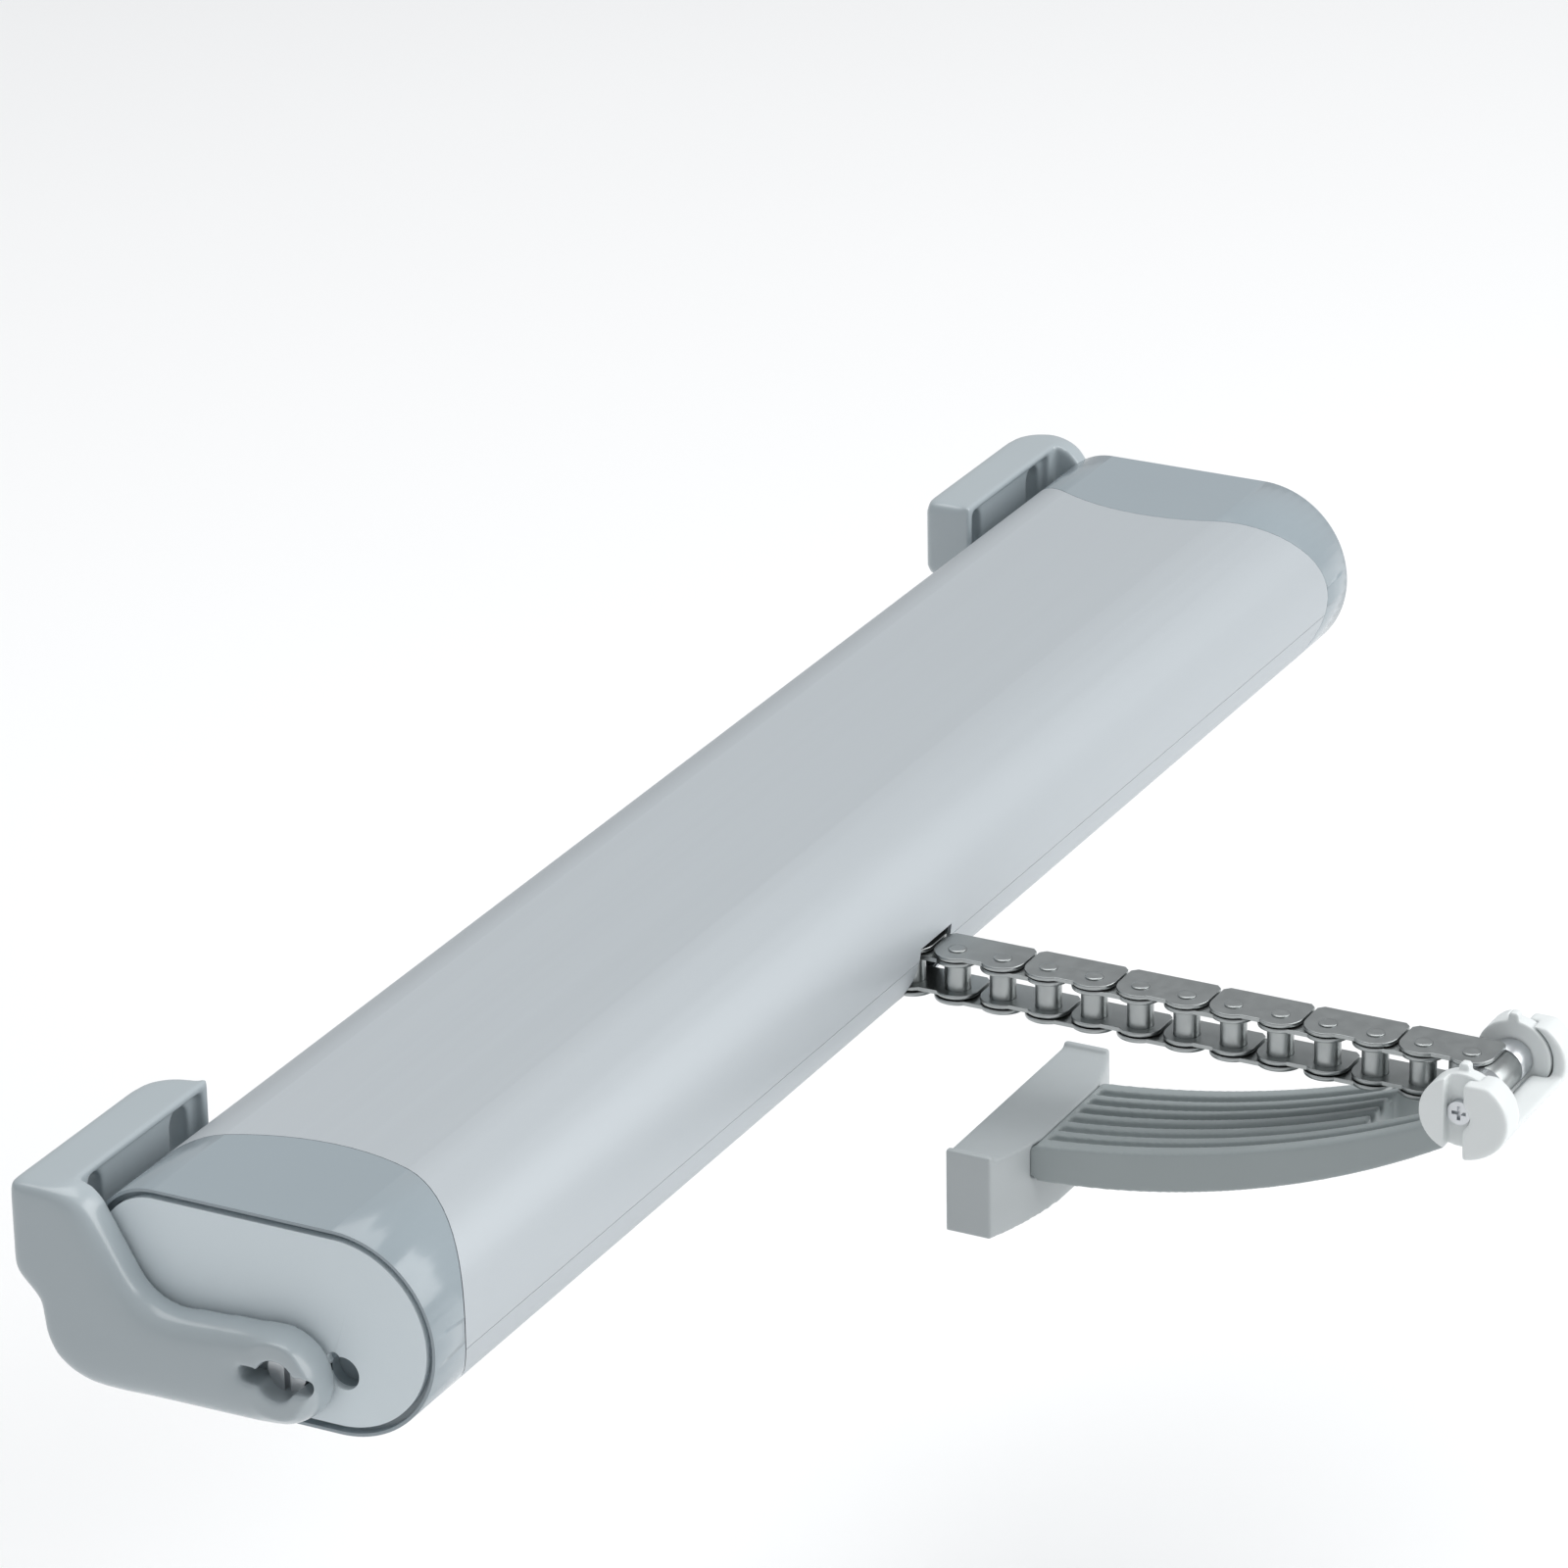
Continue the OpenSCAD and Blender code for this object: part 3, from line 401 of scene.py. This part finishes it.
# ---------- floor, light, camera ----------
# room under the actuator, so that the floor never cuts through it when it tilts
FLOOR_DROP = 150 * MM
FLOOR_SIZE = 30
WORLD_COLOR = (0.96, 0.98, 1.0)
WORLD_STRENGTH = 0.48
SOFTBOX_SIZE = (2.2, 1.6)
# name, place, watts; each one faces the middle of the casing
SOFTBOXES = (("key", (0.5, -1.9, 1.1), 35), ("top", (0.2, 0.3, 2.0), 24))
# where the camera stands from the middle of the casing, and how it is turned
CAMERA_FROM_CASING = Vector((-1.11018, -0.58575, 0.56792))
AZIMUTH, ELEVATION, ROLL = (math.radians(a) for a in (-62.187, 23.478, -1.008))
LENS_MM = 164.92
SENSOR_MM = 36

bpy.ops.mesh.primitive_plane_add(size=FLOOR_SIZE, location=(0, 0, cad_box[0].z - FLOOR_DROP))
floor = bpy.context.object
floor.name = "floor"
pale = Shader("floor_pale", (0.95, 0.95, 0.95), 0.7)
pale.tint(pale.noise(0.4), spread=0.01)
floor.data.materials.append(pale.mat)

world = bpy.data.worlds.new("studio")
world.use_nodes = True
surround = world.node_tree.nodes["Background"]
surround.inputs["Color"].default_value = (*WORLD_COLOR, 1)
surround.inputs["Strength"].default_value = WORLD_STRENGTH
bpy.context.scene.world = world
bpy.context.scene.view_settings.view_transform = "Standard"

for name, place, watts in SOFTBOXES:
    light = bpy.data.lights.new(name, "AREA")
    light.shape = "RECTANGLE"
    light.size, light.size_y = SOFTBOX_SIZE
    light.energy = watts
    softbox = bpy.data.objects.new(name, light)
    softbox.location = place
    softbox.rotation_euler = (casing_mid - Vector(place)).to_track_quat("-Z", "Y").to_euler()
    bpy.context.collection.objects.link(softbox)

back = Vector((math.sin(AZIMUTH) * math.cos(ELEVATION),
               -math.cos(AZIMUTH) * math.cos(ELEVATION),
               math.sin(ELEVATION)))
level = Vector((math.cos(AZIMUTH), math.sin(AZIMUTH), 0))
right = math.cos(ROLL) * level + math.sin(ROLL) * back.cross(level)
lens = bpy.data.cameras.new("camera")
lens.lens = LENS_MM
lens.sensor_width = SENSOR_MM
camera = bpy.data.objects.new("camera", lens)
camera.matrix_world = Matrix.Translation(casing_mid + CAMERA_FROM_CASING) @ Matrix(
    (right, back.cross(right), back)).transposed().to_4x4()
bpy.context.collection.objects.link(camera)
bpy.context.scene.camera = camera
